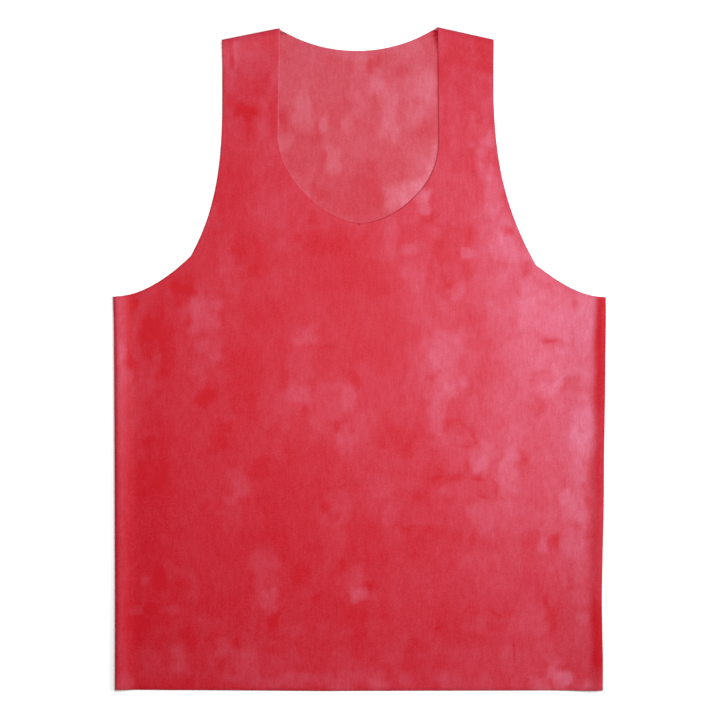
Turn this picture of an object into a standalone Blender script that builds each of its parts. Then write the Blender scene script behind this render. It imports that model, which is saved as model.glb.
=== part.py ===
"""Muscle shirt of sheet latex, laid flat with its front up: a front and a back panel, lapped at sides and shoulders.

The front panel is the outer skin. It runs round each side fold and each shoulder fold and ends in a lap strip on the
underside, below the back panel's edge. Across the middle the back panel lies flat and the front panel lies on it.
Sizes are in millimetres. x runs across the shirt, y up from the hem, z up from the surface it lies on.
"""

import math
from collections import namedtuple

import bmesh
import bpy
import numpy as np

MM = 0.001

# Driving sizes of the shirt as it lies
HALF_CHEST = 500.0
LENGTH = 672.5
WALL = 1.0
GAP = 0.3
LAP = 10.0

# Levels worked out from the wall: the front panel's outer face where both panels lie flat, and the lift over a lap
FLAT_TOP = 2 * WALL + GAP
LAP_LIFT = WALL + GAP

# A fold's outer skin: an under turn from the surface up to its widest point, then an over turn up to its crest
TURN_RADIUS = 2.6
TURN_LEVEL = 2.8
UNDER_STEPS = 3
OVER_STEPS = 5
BACK_EDGE_INSET = 3.2

# Distances in from a side fold at which the front panel's sections have points, and where its bulge has run out
YOKE_INSET = 28.0
SIDE_INSETS = (15.0, 21.0, YOKE_INSET)
SIDE_RUN = 56.0
ARMHOLE_FADE = 50.0

# The back panel's edge lies on the lap strips. Inside them it comes down to the surface over a short ramp.
LAP_EDGE = LAP + 1.5
RAMP_END = LAP + 8.0
BACK_SIDE_POINTS = ((BACK_EDGE_INSET, LAP_LIFT), (LAP_EDGE, LAP_LIFT), (RAMP_END, 0.0), (YOKE_INSET, 0.0))

# Sections across the body, from the hem up. A fold's roll is how far in from the edge its crest lies.
Section = namedtuple("Section", "height left_x left_crest left_roll right_x right_crest right_roll")
SECTIONS = (
    Section(0.0, -248.6, 5.6, 8.0, 246.6, 5.2, 8.0),
    Section(30.0, -248.5, 6.2, 8.0, 246.7, 5.8, 11.0),
    Section(60.0, -248.5, 6.4, 9.0, 246.1, 6.4, 12.0),
    Section(95.0, -248.5, 6.0, 9.0, 245.7, 6.6, 10.0),
    Section(140.0, -248.6, 5.8, 10.0, 246.5, 6.0, 8.0),
    Section(190.0, -248.8, 6.3, 10.0, 247.6, 5.7, 8.0),
    Section(240.0, -248.9, 6.6, 9.0, 247.9, 6.2, 9.0),
    Section(295.0, -249.2, 6.2, 10.0, 248.8, 6.7, 11.0),
    Section(345.0, -249.5, 6.4, 9.0, 249.3, 6.4, 10.0),
    Section(376.0, -249.8, 6.2, 8.0, 249.7, 6.0, 9.0),
    Section(399.5, -HALF_CHEST / 2, 5.8, 8.0, HALF_CHEST / 2, 5.6, 8.0),
)

# The hem's slight waves: how far its cut edge rises above its lowest point
HemPoint = namedtuple("HemPoint", "x rise")
HEM = (
    HemPoint(-248.6, 1.5),
    HemPoint(-190.0, 1.0),
    HemPoint(-100.0, 0.5),
    HemPoint(-35.0, 0.0),
    HemPoint(60.0, 0.3),
    HemPoint(150.0, 0.2),
    HemPoint(246.6, 0.7),
)

# Cut edges as curves from their start to their end, each bent by two handles
Curve = namedtuple("Curve", "start handle_a handle_b end")
NECK_BOTTOM = (0.0, 474.2)
YOKE_HEIGHT = 404.0

# A side's low armhole runs from the underarm corner to a kink, and its high armhole from there up to the strap.
Side = namedtuple("Side", "low_armhole high_armhole shoulder_corner neck_low neck_high neck_point crest roll")
LEFT = Side(
    low_armhole=Curve((-250.0, 399.5), (-221.0, 399.5), (-192.5, 420.0), (-171.0, 441.0)),
    high_armhole=Curve((-171.0, 441.0), (-144.0, 490.0), (-139.2, 540.0), (-139.2, 599.0)),
    shoulder_corner=(-139.3, 660.3),
    neck_low=Curve(NECK_BOTTOM, (-14.0, 474.2), (-31.0, 484.3), (-44.0, 495.0)),
    neck_high=Curve((-44.0, 495.0), (-57.0, 505.7), (-80.5, 530.0), (-82.2, 562.0)),
    neck_point=(-80.8, 672.1),
    crest=4.6,
    roll=5.0,
)
RIGHT = Side(
    low_armhole=Curve((250.0, 399.2), (219.0, 398.0), (188.0, 426.5), (179.6, 431.3)),
    high_armhole=Curve((179.6, 431.3), (138.0, 491.0), (138.3, 545.0), (136.2, 599.0)),
    shoulder_corner=(136.1, 660.0),
    neck_low=Curve(NECK_BOTTOM, (16.0, 474.2), (36.3, 483.2), (49.3, 495.2)),
    neck_high=Curve((49.3, 495.2), (63.0, 508.0), (77.5, 530.0), (79.5, 562.0)),
    neck_point=(79.3, LENGTH),
    crest=5.0,
    roll=5.5,
)

# The back neckline is an arc of a circle, far shallower than the front's scoop.
BACK_NECK_CENTRE = (-2.5, 801.7)
BACK_NECK_RADIUS = 152.4
BACK_KINK_HEIGHT = 485.0
BACK_ARMHOLE_SPLIT = 72.0
NECK_ARC_SLANT = 1.6

# How finely the panels are divided
CURVE_STEPS = 40
HALF_COLUMNS = 8
LOW_ROWS = 4
FRONT_HIGH_ROWS = 14
BACK_HIGH_ROWS = 9
BACK_NECK_ROWS = 5
SHOULDER_RUN = 30.0
SHOULDER_INSETS = (22.0, 15.0, 10.0)
STRAP_MARGIN = 0.1
WELD_DISTANCE = 0.01

LATEX_RED = (0.58, 0.045, 0.07, 1.0)
LATEX_INSIDE_RED = (0.62, 0.11, 0.15, 1.0)
DUSTED_ROUGHNESS = 0.55


def bent(curve):
    """Points along a curve from its start to its end."""
    t = np.linspace(0.0, 1.0, CURVE_STEPS + 1)[:, None]
    start, handle_a, handle_b, end = (np.array(point) for point in curve)
    near = (1 - t) ** 3 * start + 3 * (1 - t) ** 2 * t * handle_a
    far = 3 * (1 - t) * t**2 * handle_b + t**3 * end
    return near + far


def lengths_along(points):
    steps = np.linalg.norm(np.diff(points, axis=0), axis=1)
    return np.concatenate([[0.0], np.cumsum(steps)])


def walk(points, distances):
    """Places at the given distances along a line of points."""
    along = lengths_along(points)
    return np.column_stack([np.interp(distances, along, points[:, axis]) for axis in (0, 1)])


def rows_between(points, first, last, count):
    return walk(points, np.linspace(first, last, count + 1))


def low_armhole_height(side, inset):
    """Height of the armhole's cut edge at a distance in from the side fold."""
    points = bent(side.low_armhole)
    return np.interp(inset, np.abs(points[:, 0] - points[0, 0]), points[:, 1])


def armhole_line(side):
    """The armhole's edge from the yoke up to the shoulder's corner, and the distance at which its kink lies."""
    low = bent(side.low_armhole)
    insets = np.abs(low[:, 0] - low[0, 0])
    yoke = np.array([[np.interp(YOKE_INSET, insets, low[:, axis]) for axis in (0, 1)]])
    low = np.vstack([yoke, low[insets > YOKE_INSET]])
    line = np.vstack([low, bent(side.high_armhole)[1:], [side.shoulder_corner]])
    return line, lengths_along(low)[-1]


def front_inner_line(side):
    """Up the centre line from the yoke, then along the scoop to the neck point, and where the scoop starts."""
    centre = [(0.0, YOKE_HEIGHT)]
    scoop = [bent(side.neck_low), bent(side.neck_high)[1:], [side.neck_point]]
    return np.vstack([centre, *scoop]), NECK_BOTTOM[1] - YOKE_HEIGHT


def back_inner_line(side):
    """Up the centre line to the back neckline, then along its arc to the neck point, and where the arc starts."""
    centre_x, centre_y = BACK_NECK_CENTRE
    across = np.linspace(0.0, side.neck_point[0], CURVE_STEPS + 1)
    arc = np.column_stack([across, centre_y - np.sqrt(BACK_NECK_RADIUS**2 - (across - centre_x) ** 2)])
    return np.vstack([[(0.0, YOKE_HEIGHT)], arc]), arc[0, 1] - YOKE_HEIGHT


def run_out(inset, roll, run):
    """Share of a fold's bulge left at a distance in from its edge: 1 at its crest, 0 where it has run out."""
    share = np.clip((inset - roll) / (run - roll), 0.0, 1.0)
    return 0.5 + 0.5 * np.cos(math.pi * share)


def section_value(column, height):
    """One column of the table of sections, read at a height."""
    heights = [section.height for section in SECTIONS]
    return np.interp(height, heights, [getattr(section, column) for section in SECTIONS])


def front_level(x, y):
    """Level of the front panel's outer face inside the crests of its folds."""
    above_corner = np.clip((y - SECTIONS[-1].height) / ARMHOLE_FADE, 0.0, 1.0)
    fade = 0.5 + 0.5 * np.cos(math.pi * above_corner)
    level = FLAT_TOP
    for name, shoulder in (("left", LEFT), ("right", RIGHT)):
        inset = np.abs(x - section_value(name + "_x", y))
        rise = section_value(name + "_crest", y) - FLAT_TOP
        level += rise * fade * run_out(inset, section_value(name + "_roll", y), SIDE_RUN)
        level += (shoulder.crest - FLAT_TOP) * run_out(shoulder_drop(shoulder, x, y), shoulder.roll, SHOULDER_RUN)
    return level


def shoulder_drop(side, x, y):
    """Distance below a shoulder's fold line, or one past its bulge for a place beside that strap."""
    (corner_x, corner_y), (neck_x, neck_y) = side.shoulder_corner, side.neck_point
    share = (x - corner_x) / (neck_x - corner_x)
    if abs(share - 0.5) > 0.5 + STRAP_MARGIN:
        return SHOULDER_RUN
    return corner_y + (neck_y - corner_y) * min(max(share, 0.0), 1.0) - y


def fold_skin(crest, roll):
    """(inset, level) of a fold's outer skin, from its lap strip's inner edge, round its widest point, to its crest."""
    skin = [(LAP, 0.0)]
    for step in range(UNDER_STEPS + 1):
        angle = 0.5 * math.pi * step / UNDER_STEPS
        skin.append((TURN_RADIUS * (1 - math.sin(angle)), TURN_LEVEL * (1 - math.cos(angle))))
    for step in range(1, OVER_STEPS + 1):
        angle = 0.5 * math.pi * step / OVER_STEPS
        skin.append((roll * (1 - math.cos(angle)), TURN_LEVEL + (crest - TURN_LEVEL) * math.sin(angle)))
    return skin


def body_point(side, sign, section, x, inset):
    """Place of a section's point: its height runs from the hem to the armhole's edge or the yoke line."""
    hem = np.interp(x, [point.x for point in HEM], [point.rise for point in HEM])
    if inset < YOKE_INSET:
        top = low_armhole_height(side, inset)
    else:
        edge_x = sign * (HALF_CHEST / 2 - YOKE_INSET)
        top = np.interp(abs(x), [0.0, abs(edge_x)], [YOKE_HEIGHT, low_armhole_height(side, YOKE_INSET)])
    share = section.height / SECTIONS[-1].height
    return x, hem + (top - hem) * share


def middle_xs(edge_x):
    return np.linspace(edge_x, 0.0, HALF_COLUMNS + 1)[1:]


def front_half_section(section, side, sign):
    """One section of the front panel, from its lap strip's inner edge to the centre line."""
    edge, crest, roll = section[1:4] if sign < 0 else section[4:7]
    points = []
    for inset, level in fold_skin(crest, roll):
        points.append((*body_point(side, sign, section, edge - sign * inset, inset), level))
    insets = [(edge - sign * inset, inset) for inset in SIDE_INSETS]
    insets += [(x, HALF_CHEST) for x in middle_xs(edge - sign * YOKE_INSET)]
    for x, inset in insets:
        x, y = body_point(side, sign, section, x, inset)
        points.append((x, y, front_level(x, y)))
    return points


def back_half_section(section, side, sign):
    """One section of the back panel's underside, from its edge over the lap strip to the centre line."""
    edge = section.left_x if sign < 0 else section.right_x
    points = []
    for inset, level in BACK_SIDE_POINTS:
        points.append((*body_point(side, sign, section, edge - sign * inset, inset), level))
    for x in middle_xs(edge - sign * YOKE_INSET):
        points.append((*body_point(side, sign, section, x, HALF_CHEST), 0.0))
    return points


def body_patch(half_section):
    """Every section across the body as a grid of points, left to right."""
    rows = []
    for section in SECTIONS:
        left = half_section(section, LEFT, -1)
        right = half_section(section, RIGHT, 1)
        rows.append(left + right[-2::-1])
    return np.array(rows)


def across(start, end):
    """Points of one row from the armhole's edge to the centre line or the neckline."""
    share = np.linspace(0.0, 1.0, HALF_COLUMNS + 1)[:, None]
    return np.array(start) * (1 - share) + np.array(end) * share


def front_yoke_patch(side):
    """One half of the front above the yoke line, up its strap and round the shoulder fold to its lap strip."""
    armhole, kink = armhole_line(side)
    inner, scoop_start = front_inner_line(side)
    armhole_end, inner_end = lengths_along(armhole)[-1], lengths_along(inner)[-1]
    low = zip(rows_between(armhole, 0.0, kink, LOW_ROWS), rows_between(inner, 0.0, scoop_start, LOW_ROWS))
    high = zip(
        rows_between(armhole, kink, armhole_end - SHOULDER_RUN, FRONT_HIGH_ROWS)[1:],
        rows_between(inner, scoop_start, inner_end - SHOULDER_RUN, FRONT_HIGH_ROWS)[1:],
    )
    near = [(walk(armhole, [armhole_end - drop])[0], walk(inner, [inner_end - drop])[0]) for drop in SHOULDER_INSETS]
    rows = []
    for start, end in [*low, *high, *near]:
        rows.append([(x, y, front_level(x, y)) for x, y in across(start, end)])
    for inset, level in reversed(fold_skin(side.crest, side.roll)):
        rows.append([(x, y - inset, level) for x, y in across(side.shoulder_corner, side.neck_point)])
    return np.array(rows)


def back_yoke_patch(side):
    """One half of the back's underside above the yoke line, up to its edge over the shoulder's lap strip."""
    armhole, kink = armhole_line(side)
    inner, arc_start = back_inner_line(side)
    armhole_end, inner_end = lengths_along(armhole)[-1], lengths_along(inner)[-1]
    split = armhole_end - BACK_ARMHOLE_SPLIT
    kink_mate = BACK_KINK_HEIGHT - YOKE_HEIGHT
    arc_end = inner_end - RAMP_END * NECK_ARC_SLANT
    zones = (
        (0.0, kink, 0.0, kink_mate, LOW_ROWS),
        (kink, split, kink_mate, arc_start, BACK_HIGH_ROWS),
        (split, armhole_end - RAMP_END, arc_start, arc_end, BACK_NECK_ROWS),
    )
    rows = [[(x, y, 0.0) for x, y in across(armhole[0], inner[0])]]
    for edge_from, edge_to, inner_from, inner_to, count in zones:
        starts = rows_between(armhole, edge_from, edge_to, count)[1:]
        ends = rows_between(inner, inner_from, inner_to, count)[1:]
        rows += [[(x, y, 0.0) for x, y in across(start, end)] for start, end in zip(starts, ends)]
    for drop in (LAP_EDGE, BACK_EDGE_INSET):
        start = walk(armhole, [armhole_end - drop])[0]
        end = walk(inner, [inner_end - drop * NECK_ARC_SLANT])[0]
        rows.append([(x, y, LAP_LIFT) for x, y in across(start, end)])
    return np.array(rows)


def sheet_surface(name, patches, faces_down):
    """Patches of points joined into one open surface, with the shirt's middle over the origin."""
    surface = bmesh.new()
    for patch in patches:
        placed = (patch - (0.0, LENGTH / 2, 0.0)) * MM
        vertices = [[surface.verts.new(point) for point in row] for row in placed]
        for low, high in zip(vertices, vertices[1:]):
            for corners in zip(low, low[1:], high[1:], high):
                surface.faces.new(corners[::-1] if faces_down else corners)
    bmesh.ops.remove_doubles(surface, verts=surface.verts, dist=WELD_DISTANCE * MM)
    mesh = bpy.data.meshes.new(name)
    surface.to_mesh(mesh)
    surface.free()
    mesh.shade_smooth()
    return mesh


def latex(name, colour):
    """Sheet latex under a dusting of powder: a matt red with little gloss."""
    material = bpy.data.materials.new(name)
    material.use_nodes = True
    shader = material.node_tree.nodes["Principled BSDF"]
    shader.inputs["Base Color"].default_value = colour
    shader.inputs["Roughness"].default_value = DUSTED_ROUGHNESS
    shader.inputs["Metallic"].default_value = 0.0
    return material


def panel(name, patches, faces_down, material, collection):
    """A panel's outer face thickened inwards to a wall."""
    mesh = sheet_surface(name, patches, faces_down)
    mesh.materials.append(material)
    made = bpy.data.objects.new(name, mesh)
    collection.objects.link(made)
    wall = made.modifiers.new("sheet thickness", "SOLIDIFY")
    wall.thickness = WALL * MM
    wall.offset = -1.0
    wall.use_even_offset = True
    return made


def mirrored_columns(patch):
    """A right-hand patch with its columns from left to right."""
    return patch[:, ::-1]


def main():
    for leftover in list(bpy.data.objects):
        bpy.data.objects.remove(leftover)
    shirt = bpy.data.collections.new("latex_muscle_shirt")
    bpy.context.scene.collection.children.link(shirt)
    front = [body_patch(front_half_section), front_yoke_patch(LEFT), mirrored_columns(front_yoke_patch(RIGHT))]
    back = [body_patch(back_half_section), back_yoke_patch(LEFT), mirrored_columns(back_yoke_patch(RIGHT))]
    panel("front_panel", front, False, latex("latex outside", LATEX_RED), shirt)
    panel("back_panel", back, True, latex("latex inside", LATEX_INSIDE_RED), shirt)


main()
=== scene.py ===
# %% [markdown]
# # A muscle shirt of sheet latex, laid flat
# The shirt is two panels cut from thin rubber sheet. The front panel runs round the side folds and the
# shoulder folds and is glued over the back panel's edge on the underside. All edges are raw. A dusting of
# talc, which keeps the rubber from sticking to itself, gives the red its cloudy, chalky look. This notebook
# builds both panels as thin walls on the frame's solids, dusts them, and lights them as in the photograph.

import math
from collections import namedtuple

import bmesh
import bpy
import numpy as np
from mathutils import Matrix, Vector, noise


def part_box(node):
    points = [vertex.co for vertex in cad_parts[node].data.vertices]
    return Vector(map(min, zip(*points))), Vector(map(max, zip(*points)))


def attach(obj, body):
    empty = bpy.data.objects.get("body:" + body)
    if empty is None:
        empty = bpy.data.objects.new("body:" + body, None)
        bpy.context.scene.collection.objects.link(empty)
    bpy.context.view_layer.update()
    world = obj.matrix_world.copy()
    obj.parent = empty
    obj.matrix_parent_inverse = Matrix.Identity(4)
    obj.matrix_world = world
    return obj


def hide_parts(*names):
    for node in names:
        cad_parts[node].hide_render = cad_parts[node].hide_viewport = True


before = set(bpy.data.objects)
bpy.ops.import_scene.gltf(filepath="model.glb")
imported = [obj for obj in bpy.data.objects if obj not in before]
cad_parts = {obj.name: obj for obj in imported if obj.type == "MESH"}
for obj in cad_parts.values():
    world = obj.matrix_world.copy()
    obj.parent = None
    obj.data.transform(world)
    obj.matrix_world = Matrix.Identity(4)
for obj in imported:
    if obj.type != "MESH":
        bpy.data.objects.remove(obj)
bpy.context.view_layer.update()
low_corner, high_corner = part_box("front_panel")
MM = 0.001
HALF_CHEST = (high_corner.x - low_corner.x) / 2 / MM
LENGTH = (high_corner.y - low_corner.y) / MM
print(f"frame: {2 * HALF_CHEST:.1f} mm across, {LENGTH:.1f} mm long")

# %% [markdown]
# ## The cut of the shirt
# A pattern maker draws the edges as a few curves. Each curve here has a start, two handles and an end, in
# millimetres from the centre line and up from the hem. The two sides are not quite alike, as the shirt was
# laid by hand. The table of sections says where each side fold lies, how high its crest stands and how wide
# it rolls.

# %% Edges and sections of the cut
Curve = namedtuple("Curve", "start handle_a handle_b end")
Side = namedtuple(
    "Side",
    "name sign low_armhole high_armhole shoulder_corner neck_low neck_high neck_point crest roll run",
)
Section = namedtuple("Section", "height left_x left_crest left_roll right_x right_crest right_roll")
Point = namedtuple("Point", "x rise")

NECK_BOTTOM = (0.0, 474.2)
YOKE_HEIGHT = 404.0
CORNER_HEIGHT = 399.5
LEFT = Side(
    name="left",
    sign=-1,
    low_armhole=Curve((-HALF_CHEST, CORNER_HEIGHT), (-221.0, 399.5), (-192.5, 420.0), (-171.0, 441.0)),
    high_armhole=Curve((-171.0, 441.0), (-144.0, 490.0), (-139.2, 540.0), (-139.2, 599.0)),
    shoulder_corner=(-139.3, 660.3),
    neck_low=Curve(NECK_BOTTOM, (-14.0, 474.2), (-31.0, 484.3), (-44.0, 495.0)),
    neck_high=Curve((-44.0, 495.0), (-57.0, 505.7), (-80.5, 530.0), (-82.2, 562.0)),
    neck_point=(-80.8, 672.1),
    crest=4.6,
    roll=5.0,
    run=24.0,
)
RIGHT = Side(
    name="right",
    sign=1,
    low_armhole=Curve((HALF_CHEST, 399.2), (219.0, 398.0), (188.0, 426.5), (179.6, 431.3)),
    high_armhole=Curve((179.6, 431.3), (144.0, 494.0), (138.3, 545.0), (136.2, 599.0)),
    shoulder_corner=(136.1, 660.5),
    neck_low=Curve(NECK_BOTTOM, (16.0, 474.2), (36.3, 483.2), (49.3, 495.2)),
    neck_high=Curve((49.3, 495.2), (65.0, 508.6), (81.3, 528.0), (80.2, 562.0)),
    neck_point=(79.3, LENGTH),
    crest=5.0,
    roll=5.5,
    run=60.0,
)
SECTIONS = (
    Section(0.0, -248.1, 5.0, 3.3, 247.0, 5.2, 8.0),
    Section(30.0, -248.0, 5.4, 3.3, 247.1, 5.8, 11.0),
    Section(60.0, -248.0, 5.8, 3.8, 246.5, 6.4, 12.0),
    Section(95.0, -248.0, 5.6, 3.8, 246.1, 6.6, 10.0),
    Section(140.0, -248.1, 5.4, 4.3, 246.9, 6.0, 8.0),
    Section(190.0, -248.3, 5.8, 4.3, 248.0, 5.7, 8.0),
    Section(240.0, -248.4, 6.0, 3.8, 248.3, 6.2, 9.0),
    Section(295.0, -248.7, 5.8, 4.3, 249.2, 6.7, 11.0),
    Section(345.0, -249.0, 5.9, 3.8, 249.7, 6.4, 10.0),
    Section(376.0, -249.3, 5.6, 3.8, 250.1, 6.0, 9.0),
    Section(CORNER_HEIGHT, -HALF_CHEST, 5.2, 3.3, HALF_CHEST, 5.6, 8.0),
)
HEM = (
    Point(-248.6, 0.9),
    Point(-190, 0.4),
    Point(-100, -0.1),
    Point(-35, -0.6),
    Point(60, -0.3),
    Point(246.6, 0.1),
)
BACK_NECK_CENTRE = (-2.5, 801.7)
BACK_NECK_RADIUS = 152.4

# %% [markdown]
# ## Sheet and folds
# Sheet for a shirt is about half a millimetre thick, and so is the wall here. Where the sheet turns round a
# side it stands up in a soft bulge, because rubber springs back, and the bulge runs out within a few
# centimetres. The back's edge lies over the front's lap strip, so it rises there by the thickness of the
# strip and a small gap.

# %% Sizes of the sheet and its folds
WALL = 0.5
GAP = 0.3
RIM = 0.9
RIM_DROP = 0.3
LAP = 10.0
FLAT_TOP = 2 * WALL + GAP
LAP_LIFT = WALL + GAP
TURN_RADIUS = 2.6
TURN_LEVEL = 2.8
BACK_EDGE_INSET = 3.2
YOKE_INSET = 28.0
SHOULDER_RUN = 30.0
ARMHOLE_FADE = 50.0
LAP_EDGE = LAP + 1.5
RAMP_END = LAP + 8.0
CREST_MARGIN = 7.0
STRAP_REACH = 0.6
FACING_UP = 0.5
MERGE_DISTANCE = 0.01
NECK_ARC_SLANT = 1.6
BACK_KINK_MATE = 81.0
BACK_ARMHOLE_SPLIT = 72.0
BACK_INSETS = (22.0, 25.0, YOKE_INSET)

# The back's outer face near its edges, as distances in and levels
BACK_EDGE = (
    (BACK_EDGE_INSET, LAP_LIFT),
    (7.0, LAP_LIFT),
    (LAP_EDGE, LAP_LIFT),
    (14.5, LAP_LIFT / 2),
)

# How finely each stretch of the panels is divided
CURVE_STEPS = 120
BODY_ROWS = 128
HALF_COLUMNS = 76
TURN_STEPS = 5
CREST_STEPS = 7
RUN_STEPS = 7
LOW_ROWS = 22
HIGH_ROWS = 60
SHOULDER_ROWS = 12


def bent(curve):
    """Points along a curve from its start to its end."""
    t = np.linspace(0.0, 1.0, CURVE_STEPS + 1)[:, None]
    start, handle_a, handle_b, end = (np.array(point) for point in curve)
    near = (1 - t) ** 3 * start + 3 * (1 - t) ** 2 * t * handle_a
    return near + 3 * (1 - t) * t**2 * handle_b + t**3 * end


def lengths_along(points):
    return np.concatenate([[0.0], np.cumsum(np.linalg.norm(np.diff(points, axis=0), axis=1))])


def walk(points, distances):
    """Places at the given distances along a line of points."""
    along = lengths_along(points)
    return np.column_stack([np.interp(distances, along, points[:, axis]) for axis in (0, 1)])


def rimmed(length, steps):
    """Distances from 0 to a length in even steps, but for one narrow step along the cut edge at each end."""
    return np.concatenate([[0.0], np.linspace(RIM, length - RIM, steps - 1), [length]])


def section_value(column, height):
    """One column of the table of sections at any height, on a smooth curve through its rows."""
    heights = np.array([section.height for section in SECTIONS])
    values = np.array([getattr(section, column) for section in SECTIONS])
    slopes = np.gradient(values, heights)
    height = np.clip(height, heights[0], heights[-1])
    row = np.clip(np.searchsorted(heights, height, side="right") - 1, 0, len(heights) - 2)
    span = heights[row + 1] - heights[row]
    t = (height - heights[row]) / span
    start = (2 * t**3 - 3 * t**2 + 1) * values[row] + (t**3 - 2 * t**2 + t) * span * slopes[row]
    return start + (3 * t**2 - 2 * t**3) * values[row + 1] + (t**3 - t**2) * span * slopes[row + 1]


def run_out(inset, roll, run):
    """Share of a fold's bulge left at a distance in from its edge: 1 at its crest, 0 where it has run out."""
    t = np.clip((inset - roll) / (run - roll), 0.0, 1.0)
    return (1 - t) ** 3 * (1 + 3 * t)


def shoulder_drop(side, x, y):
    """Distance below a shoulder's fold line, and one past its bulge beside that strap."""
    (corner_x, corner_y), (neck_x, neck_y) = side.shoulder_corner, side.neck_point
    share = (x - corner_x) / (neck_x - corner_x)
    drop = corner_y + (neck_y - corner_y) * np.clip(share, 0.0, 1.0) - y
    return np.where(np.abs(share - 0.5) < STRAP_REACH, drop, SHOULDER_RUN)


def front_level(x, y):
    """Level of the front panel's outer face inside the crests of its folds."""
    fade = 0.5 + 0.5 * np.cos(math.pi * np.clip((y - CORNER_HEIGHT) / ARMHOLE_FADE, 0.0, 1.0))
    level = np.full(np.shape(x), FLAT_TOP)
    for side in (LEFT, RIGHT):
        inset = np.abs(x - section_value(side.name + "_x", y))
        rise = section_value(side.name + "_crest", y) - FLAT_TOP
        level += rise * fade * run_out(inset, section_value(side.name + "_roll", y), side.run)
        level += (side.crest - FLAT_TOP) * run_out(shoulder_drop(side, x, y), side.roll, SHOULDER_RUN)
    return level


def fold_skin(crest, roll):
    """A fold's outer skin as (inset, level): along its lap strip, round the turn, and up to its crest."""
    strip = [(inset, 0.0) for inset in np.linspace(LAP, TURN_RADIUS, 4)[:-1]]
    under = np.linspace(0.0, math.pi / 2, TURN_STEPS + 1)
    over = np.linspace(0.0, math.pi / 2, CREST_STEPS + 1)[1:]
    strip += [(TURN_RADIUS * (1 - math.sin(a)), TURN_LEVEL * (1 - math.cos(a))) for a in under]
    return strip + [(roll * (1 - math.cos(a)), TURN_LEVEL + (crest - TURN_LEVEL) * math.sin(a)) for a in over]


print(f"both layers together lie {FLAT_TOP:.1f} mm high, and {LAP:.0f} mm of sheet is lapped at each seam")

# %% [markdown]
# ## Skins
# A panel's outer face is a grid of points. Below the armholes its rows run from fold to fold. Above them
# each half has its own rows, from the armhole's edge to the centre line or the neckline, so that the grid
# follows both cut edges and no edge is stepped. The same rows carry on over the shoulder fold to the lap
# strip.

# %% Grids of points for the two panels


def low_armhole_height(side, inset):
    """Height of the armhole's cut edge at a distance in from the side fold."""
    points = bent(side.low_armhole)
    return np.interp(inset, np.abs(points[:, 0] - points[0, 0]), points[:, 1])


def body_height(side, height, x, inset):
    """Places up a section's points: its height runs from the hem to the armhole's edge or the yoke line."""
    hem = np.interp(x, [point.x for point in HEM], [point.rise for point in HEM])
    yoke_x = HALF_CHEST - YOKE_INSET
    yoke = np.interp(np.abs(x), [0.0, yoke_x], [YOKE_HEIGHT, low_armhole_height(side, YOKE_INSET)])
    top = np.where(inset < YOKE_INSET, low_armhole_height(side, inset), yoke)
    return hem + (top - hem) * height / CORNER_HEIGHT


def half_section(side, height, skin, insets):
    """One section's points from a half's outer edge to the centre line, with its free levels left open."""
    edge = float(section_value(side.name + "_x", height))
    turned_in, levels = np.array(skin).T
    inner = YOKE_INSET + rimmed(abs(edge) - YOKE_INSET, HALF_COLUMNS)[1:]
    inset = np.concatenate([turned_in, insets, inner])
    x = edge - side.sign * inset
    level = np.concatenate([levels, np.full(len(inset) - len(levels), np.nan)])
    return np.column_stack([x, body_height(side, height, x, inset), level])


def front_half(side, height):
    crest = float(section_value(side.name + "_crest", height))
    roll = float(section_value(side.name + "_roll", height))
    run_insets = np.linspace(roll, YOKE_INSET, RUN_STEPS + 1)[1:]
    return half_section(side, height, fold_skin(crest, roll), run_insets)


def back_half(side, height):
    return half_section(side, height, [*BACK_EDGE, (RAMP_END, 0.0)], BACK_INSETS)


def levelled(row, level_of):
    """A row of points with its open levels filled in."""
    row = np.array(row)
    open_levels = np.isnan(row[:, 2])
    row[open_levels, 2] = level_of(row[open_levels, 0], row[open_levels, 1])
    return row


def body_patch(half, level_of):
    """Every section of the body as a grid, left to right and hem to yoke."""
    rows = []
    for height in rimmed(CORNER_HEIGHT, BODY_ROWS):
        rows.append(np.vstack([half(LEFT, height), half(RIGHT, height)[-2::-1]]))
    return [levelled(row, level_of) for row in rows]


def armhole_line(side):
    """The armhole's edge from the yoke to the shoulder's corner, and the distance to its kink."""
    low = bent(side.low_armhole)
    insets = np.abs(low[:, 0] - low[0, 0])
    yoke = np.array([[np.interp(YOKE_INSET, insets, low[:, axis]) for axis in (0, 1)]])
    low = np.vstack([yoke, low[insets > YOKE_INSET]])
    line = np.vstack([low, bent(side.high_armhole)[1:], [side.shoulder_corner]])
    return line, lengths_along(low)[-1]


def front_inner_line(side):
    """Up the centre line from the yoke, along the scoop to the neck point, and where the scoop starts."""
    scoop = [bent(side.neck_low), bent(side.neck_high)[1:], [side.neck_point]]
    return np.vstack([[(0.0, YOKE_HEIGHT)], *scoop]), NECK_BOTTOM[1] - YOKE_HEIGHT


def back_inner_line(side):
    """Up the centre line and along the back neckline's arc to the neck point, and where the arc starts."""
    centre_x, centre_y = BACK_NECK_CENTRE
    xs = np.linspace(0.0, side.neck_point[0], CURVE_STEPS + 1)
    arc = np.column_stack([xs, centre_y - np.sqrt(BACK_NECK_RADIUS**2 - (xs - centre_x) ** 2)])
    return np.vstack([[(0.0, YOKE_HEIGHT)], arc]), arc[0, 1] - YOKE_HEIGHT


def across(start, end):
    """Points of one row from the armhole's edge to the centre line or the neckline."""
    length = np.linalg.norm(np.subtract(end, start))
    share = rimmed(length, HALF_COLUMNS)[:, None] / length
    return np.array(start) * (1 - share) + np.array(end) * share


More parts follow.
